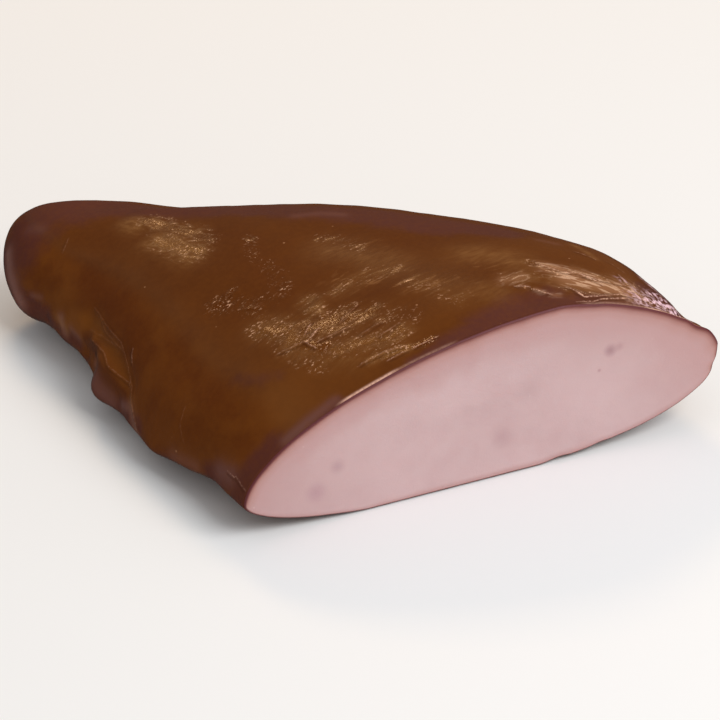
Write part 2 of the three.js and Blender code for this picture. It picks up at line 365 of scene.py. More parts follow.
# Zones of the skin, each a list of strips: path, half the width and strength.
WET = [
    (((25, 140, 47), (28, 131, 49), (31, 124, 51), (33, 116, 53)), 6, 0.8),
    (((23, 123, 49), (25, 116, 50), (26, 109, 51), (28, 103, 52)), 6, 0.85),
    (((35, 107, 54), (34, 114, 53)), 5, 0.6),
    (((46, 98, 57), (46, 96, 57)), 2.5, 0.8),
    (((44, 92, 56), (42, 83, 56)), 4, 0.4),
    (((44, 76, 56), (45, 68, 55), (41, 61, 54), (36, 61, 52)), 5, 0.45),
    (((22, 72, 48), (28, 67, 50), (31, 60, 50)), 5, 0.6),
    (((29, 74, 51), (27, 72, 50)), 2, 1),
    (((47, 50, 55), (46, 42, 55)), 4.5, 0.7),
    (((29, 49, 49), (35, 42, 51), (33, 34, 50)), 6, 0.85),
    (((35, 30, 51), (38, 28, 51), (41, 25, 51)), 3.5, 1.2),
    (((40, 36, 52), (53, 31, 56)), 7.5, 0.95),
    (((53, 31, 56), (60, 27, 58)), 6.5, 0.75),
    (((60, 27, 58), (66, 23, 59), (70, 19, 59)), 5.5, 0.45),
    (((44, 20, 52), (57, 15, 55), (64, 15, 57)), 4.5, 0.9),
    (((32, 26, 48), (37, 18, 49)), 4, 0.6),
    (((50, 10, 51), (55, 9, 53), (63, 7, 55)), 1.8, 1.2),
    (((66, 6, 55), (72, 6, 57)), 1.6, 1.2),
    (((66, 82, 60), (71, 77, 60), (75, 65, 60)), 4, 0.5),
    (((56, 49, 57), (61, 48, 59), (70, 50, 60), (78, 46, 62)), 5, 0.5),
    (((78, 37, 62), (83, 28, 62), (89, 18, 62)), 6, 0.4),
    (((119, 26, 65), (124, 20, 64), (133, 17, 61), (141, 15, 58)), 2.5, 1),
    (((124, 17, 63), (131, 16, 62), (138, 14, 60)), 3, 1),
    (((107, 21, 64), (116, 18, 64)), 4, 0.6),
    (((122, 9, 62), (132, 5, 59), (146, 6, 55), (156, 5, 49)), 1.4, 1),
    (((154, 12, 51), (166, 12, 43)), 6, 0.8),
    (((152, 60, 47), (140, 80, 43)), 6, 0.8),
    (((127, 95, 42), (112, 112, 41), (104, 121, 38)), 4.5, 0.7),
    (((84, 138, 39), (66, 152, 37), (52, 162, 36)), 4, 0.6),
    (((44, 175, 25), (36, 181, 24)), 3.5, 0.5),
    (((168, 40, 34), (162, 58, 34)), 5, 0.6),
]
SHEEN = [
    (((67, 72, 60), (73, 64, 60), (80, 44, 62), (94, 26, 64)), 12, 1),
    (((50, 20, 54), (84, 20, 62), (110, 20, 64)), 9, 0.7),
]
# Painted sheen: light and dark strokes painted along the wrinkles where the skin shines.
PAINTED_SHEEN_STROKES = [
    (((60, 52, 59), (71, 42, 61), (83, 32, 63), (92, 25, 64)), 6, 1),
    (((68, 74, 60), (78, 66, 61)), 5, 0.5),
    (((100, 30, 64), (112, 24, 65)), 6, 0.5),
]
# Painted highlight: a soft pale glow painted over the wet patches, the facet beside the cut and the fold at
# the right end, where the light's reflection falls.
PAINTED_GLOW = [
    (((20, 145, 46), (21, 140, 46)), 4.5, 0.9),
    (((38, 20, 49), (46, 14, 51)), 5, 0.35),
    (((25, 138, 48), (30, 126, 51), (33, 117, 53)), 5, 0.6),
    (((22, 124, 49), (25, 116, 50), (26, 109, 51), (27, 104, 51)), 6, 1.1),
    (((47, 50, 55), (46, 42, 55)), 4, 0.7),
    (((29, 49, 49), (35, 42, 51), (33, 33, 50)), 6, 0.6),
    (((35, 29, 51), (40, 34, 52), (53, 30, 56)), 7, 0.5),
    (((53, 30, 56), (62, 26, 58)), 6, 0.3),
    (((44, 20, 52), (57, 15, 55), (64, 15, 57)), 4.5, 0.6),
    (((50, 10, 51), (55, 9, 53), (63, 7, 55)), 2, 0.8),
    (((64, 74, 59), (72, 65, 60), (80, 52, 62)), 7, 0.35),
    (((57, 48, 57), (70, 50, 60), (78, 46, 62)), 5, 0.4),
    (((104, 42, 64), (112, 34, 65), (116, 27, 65)), 7, 0.5),
    (((80, 34, 62), (90, 20, 63), (100, 16, 63)), 6, 0.35),
    (((108, 20, 64), (116, 18, 64)), 4, 0.5),
    (((126, 14, 63), (134, 12, 60), (144, 10, 56), (151, 11, 53)), 6.5, 0.8),
    (((122, 23, 64), (128, 18, 63), (140, 15, 58)), 2, 1.8),
    (((145, 42, 58), (146, 36, 58), (146, 30, 58)), 1.8, 0.6),
    (((-13, 135, 18), (-12, 131, 17)), 3, 0.5),
    (((152, 60, 47), (140, 80, 43), (120, 102, 42), (108, 116, 41)), 7, 0.5),
    (((86, 136, 39), (74, 146, 36), (48, 166, 36)), 6, 0.4),
    (((-10, 72, 17), (-11, 68, 13), (-11, 66, 8)), 2.6, 0.4),
]
# Painted highlight: bright wet streaks painted on the facet beside the cut, near the right end.
PAINTED_SHINE = [
    (((123, 22, 64), (129, 18, 62), (138, 14, 59)), 3, 1),
    (((127, 14, 63), (132, 12, 61), (141, 9, 57), (149, 9, 54)), 4.5, 0.8),
    (((106, 20, 64), (112, 19, 64)), 2.5, 0.5),
    (((109, 14.5, 64), (111, 13, 64)), 1, 0.7),
    (((113, 11, 63), (115, 8.5, 63)), 1, 0.7),
    (((117, 7, 62), (120, 6, 62)), 0.8, 0.6),
]
# The fold at the right end: pinkish skin with painted wet glints on it.
PINK_SKIN_AND_GLINTS = [
    (((149, 17, 55), (151, 13, 54), (156, 10, 51)), 1.8, 0.7),
    (((151, 7, 53), (157, 7, 49), (164, 9, 45), (170, 10, 40)), 4.2, 1.9),
    (((159, 13, 49), (165, 15, 45)), 2, 1.2),
    (((164, 26, 48), (166, 21, 46), (168, 16, 43)), 1.6, 0.8),
]
# Painted light: a pale lilac sheen painted on left-facing edges and lower flanks, in place of a grazing
# reflection and fill light.
PAINTED_EDGE_LIGHT = [
    (((-17, 175, 27), (-18, 170, 23), (-19, 165, 20), (-19, 159, 15)), 3.4, 1.4),
    (((-9, 172, 37), (-6, 168, 38)), 2.5, 0.3),
    (((-7, 42, 12), (-4, 31, 13)), 3, 0.5),
    (((-1, 17, 18), (0, 12, 19)), 4, 0.7),
    (((16, 2, 34), (34, 3, 45)), 2.2, 0.6),
    (((-16, 153, 21), (-14, 148, 22)), 1.2, 0.5),
    (((-12, 134, 20), (-13, 132, 15)), 2.2, 0.9),
    (((-11, 127, 19), (-10, 122, 18)), 1.8, 0.6),
    (((-10, 108, 14), (-12, 102, 14)), 2, 0.8),
    (((-14, 100, 15), (-15, 94, 13), (-13, 87, 11)), 4, 0.6),
    (((-12, 79, 13), (-11, 72, 16), (-12, 69, 12), (-11, 66, 8)), 2.2, 0.8),
    (((66, 102, 58), (75, 100, 58), (81, 96, 59)), 2.5, 0.35),
    (((133, 46, 60), (138, 42, 60)), 2, 0.3),
]
# Painted reflection and shade: a purple-brown sheen of the pale room painted along grazing edges of the
# top, tip and underside, and a darker band painted as shade along the cut's upper rim.
PAINTED_SHEEN_AND_SHADE = [
    (((-24, 176, 20), (-17, 170, 32), (0, 175, 40), (20, 166, 43)), 13, 1),
    (((-1, 4, 15), (2, 4, 22), (12, 3, 31)), 7, 1),
    (((12, 1, 31), (34, 1, 44)), 4, 1),
    (((62, 0, 54), (76, 1, 57)), 3.5, 0.9),
    (((76, 1, 57), (90, 2, 60)), 6, 1),
    (((14, 35, 40), (24, 26, 44)), 5, 0.45),
    (((92, 82, 60), (106, 68, 61)), 8, 0.8),
    (((90, 2, 60), (104, 3, 62), (115, 3, 63)), 9, 1),
    (((115, 2, 63), (134, 1, 58), (151, 1, 53)), 5, 1),
    (((-1, 181, 36), (19, 165, 42), (47, 135, 50), (69, 109, 56), (98, 84, 60), (124, 58, 58)), 9.5, 1.1),
    (((-26, 182, 20), (-20, 172, 14), (-17, 160, 8)), 16, 1),
    (((-17, 152, 8), (-13, 122, 6), (-12, 97, 4), (-10, 70, 2), (-6, 35, 3), (0, 3, 6)), 8, 1),
    (((-16, 153, 16), (-14, 144, 15)), 6.5, 0.9),
    (((-14, 144, 15), (-13, 134, 14), (-11, 122, 15)), 4.5, 0.8),
    (((158, 14, 50), (165, 16, 45), (169, 12, 42)), 6, 1),
    (((-14, 104, 14), (-16, 93, 12), (-13, 84, 10), (-12, 74, 12), (-11, 66, 12)), 5, 1),
    (((-3, 22, 14), (0, 12, 18), (3, 3, 20)), 6, 0.9),
]
# A lighter golden tone of the skin, partly painted light: on the flap's lit facets and where a broad soft
# highlight falls across the middle.
AMBER = [
    (((-6, 114, 30), (-8, 104, 26), (-8, 94, 26), (-8, 84, 25)), 4.5, 0.6),
    (((-10, 126, 21), (-9, 117, 24), (-8, 110, 27)), 6, 1),
    (((4, 146, 40), (12, 130, 43)), 9, 0.3),
    (((68, 53, 60), (86, 50, 62), (97, 42, 63)), 12, 0.6),
    (((96, 44, 63), (130, 40, 62), (150, 30, 56)), 13, 0.9),
    (((60, 8, 54), (84, 16, 61)), 8, 0.8),
    (((24, 14, 42), (32, 13, 45), (45, 10, 50)), 11, 1.2),
]
# Painted shade: the skin darkened in the folds and hollows of the flap and along the flanks that face away
# from the light.
PAINTED_SHADE = [
    (((-9, 116, 20), (-10, 106, 20)), 4, 1),
    (((-11, 98, 18), (-11, 88, 17), (-11, 78, 16)), 3.5, 1.2),
    (((-1, 132, 35), (-1, 106, 36), (-2, 80, 31)), 10, 0.8),
    (((-4, 60, 20), (2, 30, 24), (6, 14, 27)), 9, 0.6),
    (((5, 70, 37), (4, 56, 34), (7, 38, 35), (11, 22, 35)), 11, 0.6),
    (((-13, 158, 27), (-10, 146, 28)), 8, 0.7),
    (((175, 32, 20), (162, 70, 22), (136, 102, 22), (106, 127, 21), (76, 152, 20), (42, 178, 20)), 17, 1.2),
]
ZONES = {
    "wet": WET, "sheen": SHEEN, "painted_sheen_strokes": PAINTED_SHEEN_STROKES, "pale": PAINTED_GLOW, "painted_shine": PAINTED_SHINE,
    "pink": PINK_SKIN_AND_GLINTS, "painted_edge_light": PAINTED_EDGE_LIGHT, "painted_sheen_and_shade": PAINTED_SHEEN_AND_SHADE, "amber": AMBER, "dark": PAINTED_SHADE,
}

# Wrinkles run this far off the cut's line, and other ways near the tip and towards the right end.
WRINKLE_TURN = math.radians(8.0)
TIP_WRINKLE_TURN = math.radians(-70.0)
TIP_WRINKLES = (75.0, 95.0)   # the distance from the cut over which they turn
END_WRINKLE_TURN = math.radians(-25.0)
END_WRINKLES = (110.0, 122.0)  # the distance along the cut over which they turn
WRINKLE_RISE = 0.35           # how fast they change with height: low, so that they run on up a slope
# The same slope also paints the top darker: dried skin, and painted shade.
DULL_SLOPE = (0.75, 0.93)     # skin that faces up more than this has dried dull

# Where a highlight is painted along the cut's edge: from and to along the cut, and strength.
GLEAM_SPANS = ((36, 56, 1.1), (56, 77, 0.3), (126, 150, 0.35), (150, 172, 1.0))
GLEAM_FADE = 3.0
GLEAM_WIDTH = 0.5
GLEAM_HEIGHT = (36.0, 38.0)   # it starts over this height


def zone(points, strips):
    """How far each point belongs to a zone, 0 to 1."""
    amount = np.zeros(points.shape[:-1])
    for path, width, strength in strips:
        amount = np.maximum(amount, strength * bell(distance_to_path(points, path), width))
    return amount


def painted_rim_gleam(points):
    """The painted highlight line along the skin's edge at the cut, 0 to 1."""
    span = np.zeros(points.shape[:-1])
    x = points[..., 0]
    for start, end, strength in GLEAM_SPANS:
        here = smooth_step(start - GLEAM_FADE, start + GLEAM_FADE, x)
        here = here * smooth_step(end + GLEAM_FADE, end - GLEAM_FADE, x)
        span = np.maximum(span, strength * here)
    line = bell(points[..., 1] - RIM_ROUNDING, GLEAM_WIDTH)
    return span * line * smooth_step(*GLEAM_HEIGHT, points[..., 2])


def beside_creases(points, normals, creases):
    """How far each point lies to the right of its nearest crease, and how bright that is there."""
    nearest = np.full(len(points), np.inf)
    offset = np.zeros(len(points))
    bright = np.zeros(len(points))
    for path, brightness, _ in creases:
        for start, end in zip(path[:-1], path[1:]):
            away, run = along_run(points, start, end)
            distance = np.linalg.norm(away, axis=1)
            right = np.cross(run / np.linalg.norm(run), normals)
            closer = distance < nearest
            nearest = np.where(closer, distance, nearest)
            offset = np.where(closer, (away * right).sum(axis=1), offset)
            bright = np.where(closer, brightness, bright)
    return offset, bright * smooth_step(*CREASE_REACH, nearest)


def along_wrinkles(points, stretch, turn):
    """The same points turned to the wrinkles' direction and squeezed along it."""
    turn_x = math.cos(turn)
    turn_y = math.sin(turn)
    along = points[..., 0] * turn_x + points[..., 1] * turn_y
    across = points[..., 1] * turn_x - points[..., 0] * turn_y
    return np.stack([along / stretch, across, points[..., 2] * WRINKLE_RISE], axis=-1)


def wrinkle_shares(points):
    """How far the wrinkles have turned at each point: to run as at the tip, and as at the right end."""
    toward_tip = smooth_step(*TIP_WRINKLES, points[..., 1])
    return toward_tip, smooth_step(*END_WRINKLES, points[..., 0]) * (1.0 - toward_tip)


def main_relief(points):
    """The lobes, notches and folds of the solid."""
    rise = np.zeros(points.shape[:-1])
    for place, reach, height in SWELLS:
        rise += height * bell(distance_to(points, place), reach)
    for path, width, height in FOLDS:
        rise += height * bell(distance_to_path(points, path), width)
    place, reach, height = SHOULDER
    lip = 1.0 - bell(points[..., 1], RIM_LIP)
    return rise + height * bell(distance_to(points, place), reach) * lip


def fine_relief(points, wet):
    """Lumps, creases, soft unevenness and wrinkles, which the solid is too coarse for."""
    rise = np.zeros(points.shape[:-1])
    for path, width, height in LUMPS:
        rise += height * bell(distance_to_path(points, path), width)
    for path, _, height in CREASES + NEAR_CREASES:
        rise += height * bell(distance_to_path(points, path), CREASE_WIDTH)
    rise += layered_hills(points, UNEVENNESS)
    toward_tip, toward_end = wrinkle_shares(points)
    shares = ((WRINKLE_TURN, 1.0 - toward_tip - toward_end), (TIP_WRINKLE_TURN, toward_tip),
              (END_WRINKLE_TURN, toward_end))
    for turn, share in shares:
        ripples = layered_hills(along_wrinkles(points, RIPPLE_STRETCH, turn), RIPPLES)
        rise += ripples * share * (DRY_RIPPLES + WET_RIPPLES * wet)
    return rise + layered_hills(points, PIMPLES)


def lobe_rings():
    """The skin as rings from the cut to the tip, with relief, settled on the table."""
    last = len(SECTIONS) - 1
    body = (np.arange(BODY_RINGS) / BODY_RINGS) ** NEAR_CUT * (last - 1)
    tip = last - 1 + np.sin(np.arange(TIP_RINGS) / TIP_RINGS * math.pi / 2.0)
    places = np.concatenate([body, tip])
    angles = np.arange(TRACE_STEPS) / TRACE_STEPS * math.tau
    rings = spaced_evenly(sweep(places, angles), RING_POINTS)
    direction = outward(rings)
    depth = rings[..., 1]
    direction[..., 1] *= 1.0 - bell(depth, CUT_FLAT)
    wet = zone(rings, WET)
    kept = CUT_RELIEF + (1.0 - CUT_RELIEF) * smooth_step(0.0, CUT_RELIEF_REACH, depth)
    rise = main_relief(rings) + fine_relief(rings, wet) * kept
    dull = smooth_step(*DULL_SLOPE, direction[..., 2])
    rings = rings + direction * rise[..., None]
    rings[0, :, 1] = 0.0
    rings[..., 2] = np.maximum(rings[..., 2], 0.0)
    tip_point = sweep(np.array([float(last)]), np.zeros(1))[0, 0]
    return rings, tip_point, dull


def cut_rings(rim):
    """The cut face as rings from the rounded rim to its middle."""
    centre = rim.mean(axis=0)
    around = np.roll(rim, -1, axis=0) - np.roll(rim, 1, axis=0)
    inward = np.stack([-around[:, 2], np.zeros(len(rim)), around[:, 0]], axis=1)
    inward /= np.linalg.norm(inward, axis=1, keepdims=True)
    if ((centre - rim) * inward).sum() < 0:
        inward = -inward
    rings = []
    for step in range(1, RIM_STEPS + 1):
        turn = step / RIM_STEPS * math.pi / 2.0
        ring = rim + inward * RIM_ROUNDING * (1.0 - math.cos(turn))
        ring[:, 1] = RIM_ROUNDING * (1.0 - math.sin(turn))
        rings.append(ring)
    edge = rings[-1]
    for share in FACE_SHARES:
        rings.append(edge + (centre - edge) * share)
    faces = np.array(rings)
    faces[RIM_STEPS:, :, 1] += np.abs(layered_hills(faces, CUT_UNEVENNESS)[RIM_STEPS:])
    centre[1] = 0.0
    return faces, centre


def build_breast():
    """One closed mesh: slot 0 is skin, slot 1 is cut meat."""
    lobe, tip_point, dull = lobe_rings()
    lobe[0, :, 1] = RIM_ROUNDING
    lobe[1:, :, 1] = np.maximum(lobe[1:, :, 1], RIM_ROUNDING * RIM_CLEARANCE)
    face, centre = cut_rings(lobe[0])
    rings = np.concatenate([face[::-1], lobe])
    count = RING_POINTS
    points = np.concatenate([[centre], rings.reshape(-1, 3), [tip_point]])
    ring = np.arange(len(rings) - 1)[:, None] * count + 1
    here = np.arange(count)[None, :]
    after = (here + 1) % count
    quads = np.stack([ring + here, ring + count + here, ring + count + after, ring + after], axis=-1)
    quads = quads.reshape(-1, 4).tolist()
    first = 1 + np.arange(count)
    last = len(points) - 1 - count + np.arange(count)
    middle = [[0, int(a), int(b)] for a, b in zip(first, np.roll(first, -1))]
    tip = [[len(points) - 1, int(b), int(a)] for a, b in zip(last, np.roll(last, -1))]

    mesh = bpy.data.meshes.new("breast")
    mesh.from_pydata((points * MM + np.array(cut_corner())).tolist(), [], middle + quads + tip)
    mesh.validate()
    breast = bpy.data.objects.new("smoked_breast", mesh)
    bpy.context.scene.collection.objects.link(breast)
    mesh.polygons.foreach_set("use_smooth", np.ones(len(mesh.polygons), bool))

    cut_faces = len(middle) + (len(face) - 1) * count
    slots = np.zeros(len(mesh.polygons), np.int32)
    slots[:cut_faces] = 1
    mesh.polygons.foreach_set("material_index", slots)

    store_finish(mesh, points, 1 + len(face) * count, face[0], dull)
    return breast


def store_finish(mesh, points, on_face, rim, dull):
    """Stores all that the materials read. The first points, on_face of them, are on the cut."""
    from_rim = np.zeros(len(points))
    from_rim[:on_face] = cured_depth(points[:on_face], rim)
    store(mesh, "from_rim", from_rim)
    from_edge = np.full(len(points), FAR_FROM_EDGE)
    from_edge[:on_face] = rim_distances(points[:on_face], rim).min(axis=1)
    store(mesh, "from_edge", from_edge)
    store(mesh, "dull", np.concatenate([np.zeros(on_face), dull.ravel(), [0.0]]))
    for name, strips in ZONES.items():
        store(mesh, name, zone(points, strips))
    store(mesh, "painted_gleam", painted_rim_gleam(points))
    normals = np.empty(len(points) * 3, np.float32)
    mesh.vertices.foreach_get("normal", normals)
    for name, creases in (("crease", CREASES), ("near_crease", NEAR_CREASES)):
        offset, bright = beside_creases(points, normals.reshape(-1, 3), creases)
        store(mesh, name, bright)
        store(mesh, name + "_offset", offset)
    toward_tip, toward_end = wrinkle_shares(points)
    store(mesh, "toward_tip", toward_tip)
    store(mesh, "toward_end", toward_end)


def rim_distances(points, rim):
    """Millimetres across the cut from each point to each point of its rim."""
    return np.linalg.norm(points[:, None, [0, 2]] - rim[None, :, [0, 2]], axis=2)


def cured_depth(points, rim):
    """Millimetres in from the cut's rim, stretched where the cured edge is thin: below and on the left."""
    outline = rim[:, [0, 2]]
    around = np.roll(outline, -1, axis=0) - np.roll(outline, 1, axis=0)
    upward = around[:, 0] / np.linalg.norm(around, axis=1)
    upward *= np.sign(upward[outline[:, 1].argmax()])
    thickness = UNDER_EDGE + (1.0 - UNDER_EDGE) * smooth_step(*EDGE_SLOPE, upward)
    thickness *= LEFT_EDGE + (1.0 - LEFT_EDGE) * smooth_step(*LEFT_EDGE_SPAN, outline[:, 0])
    return (rim_distances(points, rim) / thickness).min(axis=1)


def store(mesh, name, values):
    """Keeps a number for each vertex, which the materials read by name."""
    attribute = mesh.attributes.new(name, "FLOAT", "POINT")
    attribute.data.foreach_set("value", np.asarray(values, np.float32))


# --- Materials ----------------------------------------------------------------


def colour(red, green, blue):
    """A screen colour from 0 to 255 as the linear colour that a shader takes."""
    linear = []
    for value in (red / 255.0, green / 255.0, blue / 255.0):
        linear.append(value / 12.92 if value <= 0.04045 else ((value + 0.055) / 1.055) ** 2.4)
    return (*linear, 1.0)


def connect(tree, value, socket):
    """Links a socket to another one, or sets it to a plain value."""
    if isinstance(value, bpy.types.NodeSocket):
        tree.links.new(value, socket)
    else:
        socket.default_value = value


def add(tree, kind, inputs=None, **settings):
    """A node with its settings, and its inputs set to values or linked from sockets."""
    made = tree.nodes.new(kind)
    for name, value in settings.items():
        setattr(made, name, value)
    for name, value in (inputs or {}).items():
        connect(tree, value, made.inputs[name])
    return made


def combine(tree, operation, first, second=0.5):
    """Arithmetic on two numbers."""
    return add(tree, "ShaderNodeMath", {0: first, 1: second}, operation=operation).outputs[0]


def times(tree, first, second):
    return combine(tree, "MULTIPLY", first, second)


def plus(tree, first, second):
    return combine(tree, "ADD", first, second)


def minus(tree, first, second):
    return combine(tree, "SUBTRACT", first, second)


def remap(tree, value, low, high, to_low=0.0, to_high=1.0):
    """A number moved from one range to another, with soft ends."""
    ranges = {"Value": value, "From Min": low, "From Max": high, "To Min": to_low, "To Max": to_high}
    return add(tree, "ShaderNodeMapRange", ranges, interpolation_type="SMOOTHSTEP").outputs["Result"]


def between(tree, amount, low, high):
    """A number between two numbers, by an amount from 0 to 1."""
    return add(tree, "ShaderNodeMix", {0: amount, 2: low, 3: high}, data_type="FLOAT").outputs[0]


def blend(tree, amount, low, high):
    """A colour between two colours, by an amount from 0 to 1."""
    return add(tree, "ShaderNodeMix", {0: amount, 6: low, 7: high}, data_type="RGBA").outputs[2]


def tint(tree, base, amount, strength, tone):
    """A colour with a screen colour laid over it, by an amount times a strength."""
    return blend(tree, times(tree, amount, strength), base, colour(*tone))


def number(tree, name):
    """The number that the mesh keeps under this name."""
    return add(tree, "ShaderNodeAttribute", attribute_name=name).outputs["Fac"]


def new_group(name, inputs, output):
    """An empty effect: its tree, inputs and result. An input without a value is a vector."""
    tree = bpy.data.node_groups.new(name, "ShaderNodeTree")
    for label, value in inputs.items():
        kind = "NodeSocketVector" if value is None else "NodeSocketFloat"
        socket = tree.interface.new_socket(label, in_out="INPUT", socket_type=kind)
        if value is not None:
            socket.default_value = value
    tree.interface.new_socket(output, in_out="OUTPUT", socket_type="NodeSocketFloat")
    return tree, tree.nodes.new("NodeGroupInput").outputs, tree.nodes.new("NodeGroupOutput").inputs[0]


def per_metre(tree, size):
    """How often a size in millimetres fits into a metre."""
    return combine(tree, "DIVIDE", 1.0 / MM, size)


def mottle_effect():
    """Soft patches, from 0 to 1."""
    inputs = {"Vector": None, "Size mm": 10.0, "Detail": 4.0, "Low": 0.35, "High": 0.65}
    tree, given, result = new_group("mottle", inputs, "Amount")
    scale = per_metre(tree, given["Size mm"])
    noise = add(tree, "ShaderNodeTexNoise",
                {"Vector": given["Vector"], "Scale": scale, "Detail": given["Detail"]})
    tree.links.new(remap(tree, noise.outputs["Fac"], given["Low"], given["High"]), result)
    return tree


def wrinkle_effect():
    """Heights of fine wrinkles that run one way across a surface, from 0 to 1."""
    inputs = {"Vector": None, "Size mm": 1.5, "Stretch": 3.0, "Turn": 0.0, "Rise": WRINKLE_RISE}
    tree, given, result = new_group("wrinkles", inputs, "Height")
    turned = add(tree, "ShaderNodeVectorRotate", {"Vector": given["Vector"], "Angle": given["Turn"]},
                 rotation_type="Z_AXIS")
    parts = add(tree, "ShaderNodeSeparateXYZ", {0: turned.outputs[0]}).outputs
    squeezed = combine(tree, "DIVIDE", parts["X"], given["Stretch"])
    raised = times(tree, parts["Z"], given["Rise"])
    joined = add(tree, "ShaderNodeCombineXYZ", {"X": squeezed, "Y": parts["Y"], "Z": raised}).outputs[0]
    scale = per_metre(tree, given["Size mm"])
    noise = add(tree, "ShaderNodeTexNoise",
                {"Vector": joined, "Scale": scale, "Detail": 3.0, "Distortion": 0.4})
    tree.links.new(noise.outputs["Fac"], result)
    return tree


def spot_effect():
    """One soft round spot, 1 at its place and 0 outside it."""
    tree, given, result = new_group("spot", {"Vector": None, "Place": None, "Radius mm": 2.0}, "Amount")
    away = add(tree, "ShaderNodeVectorMath", {0: given["Vector"], 1: given["Place"]}, operation="DISTANCE")
    radius = times(tree, given["Radius mm"], MM)
    tree.links.new(remap(tree, away.outputs["Value"], 0.0, radius, 1.0, 0.0), result)
    return tree


def specks_effect():
    """Scattered small round specks, 1 inside a speck and 0 outside."""
    inputs = {"Vector": None, "Spacing mm": 5.0, "Radius": 0.1, "Share": 0.3}
    tree, given, result = new_group("specks", inputs, "Amount")
    scale = per_metre(tree, given["Spacing mm"])
    cells = add(tree, "ShaderNodeTexVoronoi", {"Vector": given["Vector"], "Scale": scale}).outputs
    parts = add(tree, "ShaderNodeSeparateColor", {0: cells["Color"]}).outputs
    chosen = combine(tree, "LESS_THAN", parts[0], given["Share"])
    size = times(tree, parts[1], given["Radius"])
    ranges = {"Value": cells["Distance"], "From Min": size, "From Max": given["Radius"], "To Min": 1.0,
              "To Max": 0.0}
    edge = add(tree, "ShaderNodeMapRange", ranges).outputs["Result"]
    tree.links.new(times(tree, edge, chosen), result)
    return tree


def effect(tree, group, **inputs):
    """Places an effect in a material. Spaces in its input names are written as underscores."""
    made = tree.nodes.new("ShaderNodeGroup")
    made.node_tree = group
    for name, value in inputs.items():
        connect(tree, value, made.inputs[name.replace("_", " ")])
    return made.outputs[0]


def new_material(name):
    """A material with only its shader and output, and the coordinates of the object."""
    material = bpy.data.materials.new(name)
    material.use_nodes = True
    tree = material.node_tree
    shader = tree.nodes["Principled BSDF"]
    place = add(tree, "ShaderNodeTexCoord").outputs["Object"]
    return material, tree, shader, place


# Colours of the skin as a screen shows them, 0 to 255. Many are painted light: highlights, glints, sheen,
# reflections and shade.
SKIN = {
    "brown": (104, 53, 12), "light_brown": (110, 59, 16), "deep_brown": (92, 44, 11),
    "warm_brown": (116, 62, 16), "amber": (121, 68, 20), "dark": (86, 37, 8),
    "dull": (80, 35, 5), "painted_sheen_and_shade": (86, 43, 38), "painted_edge_light": (124, 84, 76),
    "painted_light_stroke": (166, 114, 70), "painted_dark_stroke": (82, 40, 10), "painted_glow": (168, 120, 70),
    "pink_and_painted_glint": (238, 198, 208), "dim_painted_shine": (152, 104, 74), "bright_painted_shine": (222, 178, 148),
    "shadow": (66, 29, 12), "crest": (216, 166, 142), "painted_gleam": (216, 170, 150),
    "drops": (214, 164, 130), "speck": (170, 120, 84),
}


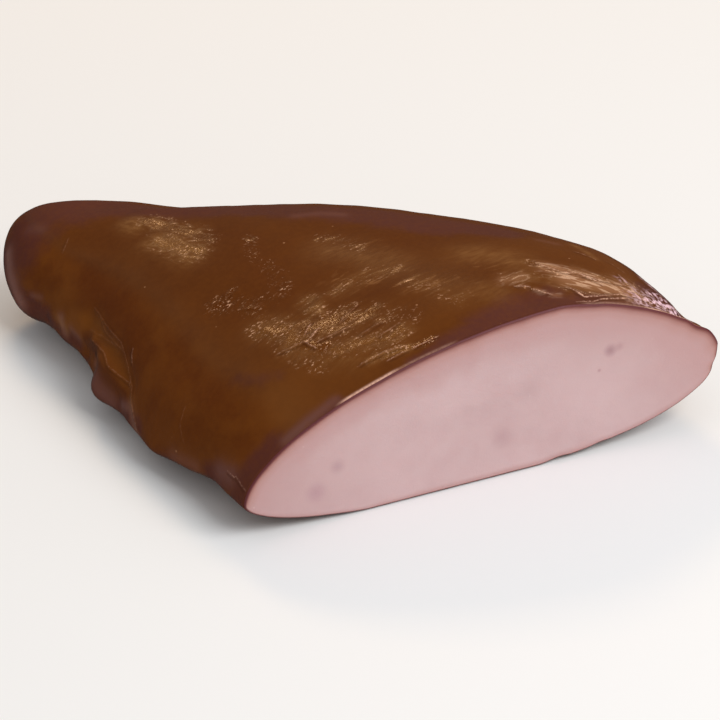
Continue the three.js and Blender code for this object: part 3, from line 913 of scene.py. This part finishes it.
def skin_material(mottle, wrinkles, specks):
    """Brown smoked skin in soft zones of colour, wet and wrinkled in patches, with highlights, glints,
    reflections and shade painted into its colour.
    """
    material, tree, shader, place = new_material("smoked_skin")
    broad = effect(tree, mottle, Vector=place, Size_mm=34.0, Detail=2.0, Low=0.38, High=0.62)
    medium = effect(tree, mottle, Vector=place, Size_mm=9.0, Detail=4.0, Low=0.35, High=0.68)
    fine = effect(tree, mottle, Vector=place, Size_mm=1.8, Detail=3.0, Low=0.3, High=0.75)
    clusters = effect(tree, wrinkles, Vector=place, Size_mm=4.0, Stretch=1.8, Turn=-WRINKLE_TURN)

    def part_of(name):
        ragged = plus(tree, number(tree, name), times(tree, medium, 0.2))
        return remap(tree, ragged, 0.25, 0.95)

    brown = blend(tree, broad, colour(*SKIN["brown"]), colour(*SKIN["light_brown"]))
    brown = tint(tree, brown, medium, 0.35, SKIN["deep_brown"])
    # Golden skin, partly painted light on lit facets and a broad soft highlight.
    brown = tint(tree, brown, part_of("amber"), 0.7, SKIN["amber"])
    # Painted shade in the folds, hollows and shaded flanks.
    brown = tint(tree, brown, part_of("dark"), 0.7, SKIN["dark"])
    # Darker on skin that faces up: dried skin, and painted shade that tones down the light falling on the
    # top.
    brown = tint(tree, brown, number(tree, "dull"), 0.65, SKIN["dull"])
    # Painted grazing reflection along the edges, and painted shade along the cut's upper rim.
    brown = tint(tree, brown, part_of("painted_sheen_and_shade"), 0.85, SKIN["painted_sheen_and_shade"])
    # Painted light: a pale sheen on left-facing edges and lower flanks.
    brown = tint(tree, brown, number(tree, "painted_edge_light"), 0.7, SKIN["painted_edge_light"])
    brown = tint(tree, brown, fine, 0.15, SKIN["warm_brown"])

    by_cut = effect(tree, wrinkles, Vector=place, Size_mm=1.5, Stretch=3.5, Turn=-WRINKLE_TURN)
    by_tip = effect(tree, wrinkles, Vector=place, Size_mm=1.6, Stretch=3.0, Turn=-TIP_WRINKLE_TURN)
    by_end = effect(tree, wrinkles, Vector=place, Size_mm=1.5, Stretch=4.0, Turn=-END_WRINKLE_TURN)
    streaks = between(tree, number(tree, "toward_tip"), by_cut, by_tip)
    streaks = between(tree, number(tree, "toward_end"), streaks, by_end)
    grain = effect(tree, wrinkles, Vector=place, Size_mm=0.7, Stretch=1.3, Turn=-WRINKLE_TURN)
    beads = effect(tree, wrinkles, Vector=place, Size_mm=0.8, Stretch=1.25, Turn=0.0)
    uneven = plus(tree, times(tree, clusters, 0.4), times(tree, streaks, 0.6))
    # Painted highlight and shade along the wrinkles in the sheen.
    painted_sheen_strokes = times(tree, number(tree, "painted_sheen_strokes"), remap(tree, clusters, 0.42, 0.6))
    painted_light_strokes = times(tree, painted_sheen_strokes, remap(tree, streaks, 0.53, 0.62))
    painted_dark_strokes = times(tree, painted_sheen_strokes, remap(tree, streaks, 0.38, 0.46, 1.0, 0.0))
    brown = tint(tree, brown, painted_light_strokes, 0.3, SKIN["painted_light_stroke"])
    brown = tint(tree, brown, painted_dark_strokes, 0.3, SKIN["painted_dark_stroke"])
    # Painted highlight: a soft pale glow over the wet patches.
    painted_glow = times(tree, number(tree, "pale"), remap(tree, uneven, 0.36, 0.62, 0.4, 1.0))
    brown = tint(tree, brown, painted_glow, 0.5, SKIN["painted_glow"])
    # Pinkish skin with painted pink-white glints at the right end.
    pink_skin_and_glints = times(tree, number(tree, "pink"), remap(tree, fine, 0.1, 0.9))
    brown = tint(tree, brown, pink_skin_and_glints, 0.85, SKIN["pink_and_painted_glint"])
    # Painted highlight streaks on the facet by the cut, brighter along the wrinkles.
    thickness = remap(tree, streaks, 0.5, 0.6)
    painted_shine_tone = blend(tree, thickness, colour(*SKIN["dim_painted_shine"]), colour(*SKIN["bright_painted_shine"]))
    brown = blend(tree, times(tree, number(tree, "painted_shine"), 0.8), brown, painted_shine_tone)
    wander = plus(tree, times(tree, minus(tree, clusters, 0.5), 0.8),
                  times(tree, minus(tree, grain, 0.5), 0.7))
    lines = []
    for name in ("crease", "near_crease"):
        offset = plus(tree, number(tree, name + "_offset"), wander)
        from_crest = remap(tree, combine(tree, "ABSOLUTE", offset), 0.05, 0.4, 1.0, 0.0)
        lines.append(times(tree, from_crest, number(tree, name)))
        # Painted shadow beside each crease.
        painted_crease_shadow = times(tree, remap(tree, offset, 0.35, 0.7), remap(tree, offset, 0.9, 1.7, 1.0, 0.0))
        painted_crease_shadow = times(tree, painted_crease_shadow, remap(tree, number(tree, name), 0.0, 0.2, 0.0, 0.4))
        brown = blend(tree, painted_crease_shadow, brown, colour(*SKIN["shadow"]))
    crests = combine(tree, "MAXIMUM", *lines)
    # Painted highlight along the creases' crests.
    painted_crest_highlight = times(tree, crests, remap(tree, beads, 0.42, 0.6, 0.2, 1.0))
    brown = tint(tree, brown, painted_crest_highlight, 0.9, SKIN["crest"])
    # Painted highlight along the skin's edge at the cut.
    painted_gleam = times(tree, number(tree, "painted_gleam"), remap(tree, grain, 0.3, 0.55, 0.6, 1.0))
    brown = tint(tree, brown, painted_gleam, 0.9, SKIN["painted_gleam"])

    scattered = times(tree, minus(tree, uneven, 0.5), 2.4)
    wet = plus(tree, number(tree, "wet"), scattered)
    wet = times(tree, wet, remap(tree, number(tree, "wet"), 0.05, 0.3))
    wet = combine(tree, "MAXIMUM", wet, crests)
    # Painted glints: small bright beads painted across the wet patches.
    drops = times(tree, remap(tree, beads, 0.56, 0.66), remap(tree, wet, 0.1, 0.8))
    drops = times(tree, drops, remap(tree, streaks, 0.45, 0.58, 0.15, 1.0))
    drops = times(tree, drops, remap(tree, medium, 0.1, 0.7, 0.45, 1.0))
    brown = tint(tree, brown, drops, 0.9, SKIN["drops"])
    pale = effect(tree, specks, Vector=place, Spacing_mm=9.0, Radius=0.05, Share=0.35)
    brown = tint(tree, brown, pale, 0.6, SKIN["speck"])
    tree.links.new(brown, shader.inputs["Base Color"])

    gloss = remap(tree, wet, 0.35, 0.95)
    dried = minus(tree, number(tree, "dull"), times(tree, number(tree, "sheen"), 0.4))
    satin = remap(tree, dried, 0.0, 1.0, 0.3, 0.97)
    rough = plus(tree, times(tree, satin, minus(tree, 1.0, gloss)), times(tree, gloss, 0.15))
    tree.links.new(rough, shader.inputs["Roughness"])
    shader.inputs["Specular IOR Level"].default_value = 0.3
    shader.inputs["Specular Tint"].default_value = (1.0, 0.68, 0.36, 1.0)

    height = plus(tree, minus(tree, streaks, 0.5), times(tree, minus(tree, grain, 0.5), 0.7))
    wrinkled = combine(tree, "MAXIMUM", remap(tree, wet, 0.0, 0.5, 0.08, 1.0),
                       times(tree, number(tree, "sheen"), 0.8))
    height = plus(tree, times(tree, height, wrinkled), times(tree, crests, 0.6))
    bump = add(tree, "ShaderNodeBump", {"Height": height, "Strength": 1.0, "Distance": 0.0003})
    tree.links.new(bump.outputs["Normal"], shader.inputs["Normal"])
    return material


# Faint spots and shades of the cut face: X and Z, radius, strength and colour.
SPOTS = [
    ((4, 22), 60.0, 0.6, (192, 152, 150)),
    ((176, 34), 46.0, 0.8, (194, 154, 152)),
    ((130, 60), 40.0, 0.8, (190, 152, 150)),
    ((137, 39), 3.6, 0.9, (168, 130, 134)),
    ((140.5, 39.7), 2.6, 0.6, (174, 136, 138)),
    ((34, 20), 4.2, 0.55, (178, 142, 146)),
    ((26, 12), 5.5, 0.5, (178, 138, 146)),
    ((96, 15), 6.0, 0.5, (182, 146, 148)),
    ((106, 32), 7.5, 0.35, (186, 154, 154)),
    ((133, 32), 1.2, 0.7, (160, 108, 112)),
]

# Shades towards the rim: the depths between which each fades out, and its colour.
RIM_SHADES = [
    (5.0, 18.0, (194, 154, 152)),
    (2.5, 7.0, (188, 144, 138)),
    (0.8, 3.6, (166, 114, 106)),
    (0.1, 1.9, (108, 54, 48)),
]
MEAT = {
    "pink": (206, 174, 174), "deep_pink": (200, 167, 167), "light_pink": (211, 183, 182),
    "rim_line": (100, 44, 50), "fleck": (228, 206, 202),
}
FLOOR_TONE = (242, 242, 242)


def meat_material(mottle, wrinkles, specks, spot):
    """Cut meat: pale pink, redder towards the rim, with faint spots and flecks."""
    material, tree, shader, place = new_material("cut_meat")
    from_rim = number(tree, "from_rim")
    wander = effect(tree, mottle, Vector=place, Size_mm=12.0, Detail=2.0, Low=0.2, High=0.8)
    depth = times(tree, from_rim, plus(tree, times(tree, wander, 0.3), 0.85))

    broad = effect(tree, mottle, Vector=place, Size_mm=32.0, Detail=1.0, Low=0.35, High=0.65)
    medium = effect(tree, mottle, Vector=place, Size_mm=7.0, Detail=4.0, Low=0.3, High=0.7)
    pink = blend(tree, broad, colour(*MEAT["pink"]), colour(*MEAT["deep_pink"]))
    pink = tint(tree, pink, medium, 0.3, MEAT["light_pink"])
    for (x, z), radius, strength, tone in SPOTS:
        middle = Vector((x, 0.0, z)) * MM + cut_corner()
        near = effect(tree, spot, Vector=place, Place=middle, Radius_mm=radius)
        pink = tint(tree, pink, near, strength, tone)
    for low, high, tone in RIM_SHADES:
        pink = blend(tree, remap(tree, depth, low, high, 1.0, 0.0), pink, colour(*tone))
    rim_line = remap(tree, number(tree, "from_edge"), 0.15, 0.9, 0.85, 0.0)
    pink = blend(tree, rim_line, pink, colour(*MEAT["rim_line"]))
    flecks = effect(tree, specks, Vector=place, Spacing_mm=6.0, Radius=0.07, Share=0.4)
    pink = tint(tree, pink, flecks, 0.4, MEAT["fleck"])
    tree.links.new(pink, shader.inputs["Base Color"])

    shader.inputs["Roughness"].default_value = 0.5
    shader.inputs["Specular IOR Level"].default_value = 0.3
    shader.inputs["Subsurface Weight"].default_value = 0.15
    shader.inputs["Subsurface Radius"].default_value = (1.0, 0.5, 0.4)
    shader.inputs["Subsurface Scale"].default_value = 0.002

    fibres = effect(tree, wrinkles, Vector=place, Size_mm=1.2, Stretch=2.0, Turn=0.0, Rise=1.0)
    grain = effect(tree, wrinkles, Vector=place, Size_mm=0.5, Stretch=1.0, Turn=0.0, Rise=1.0)
    height = plus(tree, times(tree, fibres, 0.6), times(tree, grain, 0.4))
    bump = add(tree, "ShaderNodeBump", {"Height": height, "Strength": 0.6, "Distance": 0.0002})
    tree.links.new(bump.outputs["Normal"], shader.inputs["Normal"])
    return material


def floor_material():
    material, _, shader, _ = new_material("studio_floor")
    shader.inputs["Base Color"].default_value = colour(*FLOOR_TONE)
    shader.inputs["Roughness"].default_value = 0.8
    shader.inputs["Specular IOR Level"].default_value = 0.1
    return material


# --- Studio -------------------------------------------------------------------

CAMERA_AZIMUTH = math.radians(-25.6)
CAMERA_ELEVATION = math.radians(30.0)
CAMERA_DISTANCE = 1.2
PICTURE_SIDE = 720.0
FOCAL_PIXELS = 3355.0
AIM = (80.5, 80.0, 7.8)               # millimetres from the cut's left corner
ROOM_FILL = 0.48
ROOM_SEEN = 0.9
ROOM_MIRRORED = 0.05
SENSOR_WIDTH = 36.0
FLOOR_SIZE = 12.0
FLOOR_DROP = 0.0002

# Softboxes: azimuth, elevation, distance, width, height, watts and colour.
SOFTBOXES = {
    "back_softbox": (166.0, 38.0, 1.6, 0.42, 0.27, 6.0, (1.0, 0.68, 0.38)),
    "front_softbox": (30.0, 45.0, 1.8, 1.2, 1.0, 22.0, (0.98, 0.99, 1.0)),
}


def direction(azimuth, elevation):
    """From the object towards a place round it. Azimuth 0 is in front of the cut, elevation is up."""
    flat = math.cos(elevation)
    return Vector((math.sin(azimuth) * flat, -math.cos(azimuth) * flat, math.sin(elevation)))


def add_camera():
    data = bpy.data.cameras.new("camera")
    data.sensor_width = SENSOR_WIDTH
    data.lens = data.sensor_width * FOCAL_PIXELS / PICTURE_SIDE
    camera = bpy.data.objects.new("camera", data)
    bpy.context.scene.collection.objects.link(camera)
    away = direction(CAMERA_AZIMUTH, CAMERA_ELEVATION)
    camera.location = cut_corner() + Vector(AIM) * MM + away * CAMERA_DISTANCE
    camera.rotation_mode = "QUATERNION"
    camera.rotation_quaternion = (-away).to_track_quat("-Z", "Y")
    bpy.context.scene.camera = camera


def add_softbox(name, azimuth, elevation, distance, width, height, watts, tone):
    data = bpy.data.lights.new(name, "AREA")
    data.color = tone
    data.shape = "RECTANGLE"
    data.size = width
    data.size_y = height
    data.energy = watts
    light = bpy.data.objects.new(name, data)
    bpy.context.scene.collection.objects.link(light)
    away = direction(math.radians(azimuth), math.radians(elevation))
    light.location = away * distance
    light.rotation_mode = "QUATERNION"
    light.rotation_quaternion = (-away).to_track_quat("-Z", "Y")


def add_room():
    """An even pale room: bright behind the object, dim in its reflections as in a dark studio."""
    world = bpy.data.worlds.new("studio")
    world.use_nodes = True
    tree = world.node_tree
    ray = add(tree, "ShaderNodeLightPath")
    seen = times(tree, ray.outputs["Is Camera Ray"], ROOM_SEEN - ROOM_FILL)
    mirrored = times(tree, ray.outputs["Is Glossy Ray"], ROOM_MIRRORED - ROOM_FILL)
    strength = plus(tree, plus(tree, seen, mirrored), ROOM_FILL)
    tree.links.new(strength, tree.nodes["Background"].inputs["Strength"])
    tree.nodes["Background"].inputs["Color"].default_value = (1.0, 1.0, 1.0, 1.0)
    bpy.context.scene.world = world


def add_studio():
    bpy.ops.mesh.primitive_plane_add(size=FLOOR_SIZE, location=(0.0, 0.0, -FLOOR_DROP))
    floor = bpy.context.object
    floor.name = "studio_floor"
    floor.visible_glossy = False
    floor.data.materials.append(floor_material())
    add_room()
    for name, settings in SOFTBOXES.items():
        add_softbox(name, *settings)
    bpy.context.scene.view_settings.view_transform = "Standard"


breast = build_breast()
mottle = mottle_effect()
wrinkles = wrinkle_effect()
specks = specks_effect()
breast.data.materials.append(skin_material(mottle, wrinkles, specks))
breast.data.materials.append(meat_material(mottle, wrinkles, specks, spot_effect()))
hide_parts(NODE)
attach(breast, "root")
add_camera()
add_studio()
